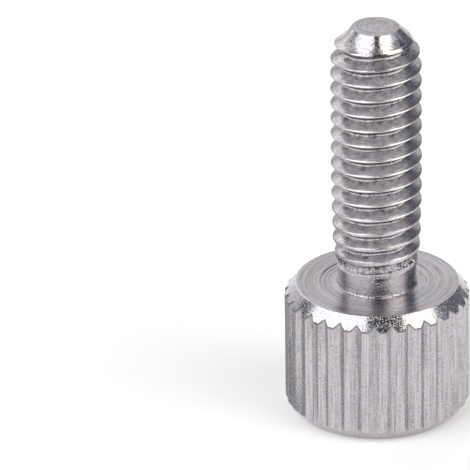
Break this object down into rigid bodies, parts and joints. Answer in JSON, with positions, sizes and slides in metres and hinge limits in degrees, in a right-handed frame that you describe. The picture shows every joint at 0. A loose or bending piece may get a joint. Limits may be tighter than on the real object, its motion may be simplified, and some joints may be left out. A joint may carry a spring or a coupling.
{
  "type": "knurled thumb screw",
  "caption": "Thumb screw with a straight-knurled cylindrical head, a plain relieved neck and a machine thread with a coned tip, for tightening by hand.",
  "frame": {"origin": "centre of the head's outer face, which the screw stands on", "axes": "+Z along the screw's axis, from the head to the tip of the shaft; +X and +Y across it, with no front of its own"},
  "size_m": [0.008, 0.008, 0.0179],
  "materials": {
    "stainless": "satin knurl and turned faces, polished bevels, neck and tip"
  },
  "bodies": {
    "root": {"thumb_screw": "stainless"}
  },
  "joints": []
}
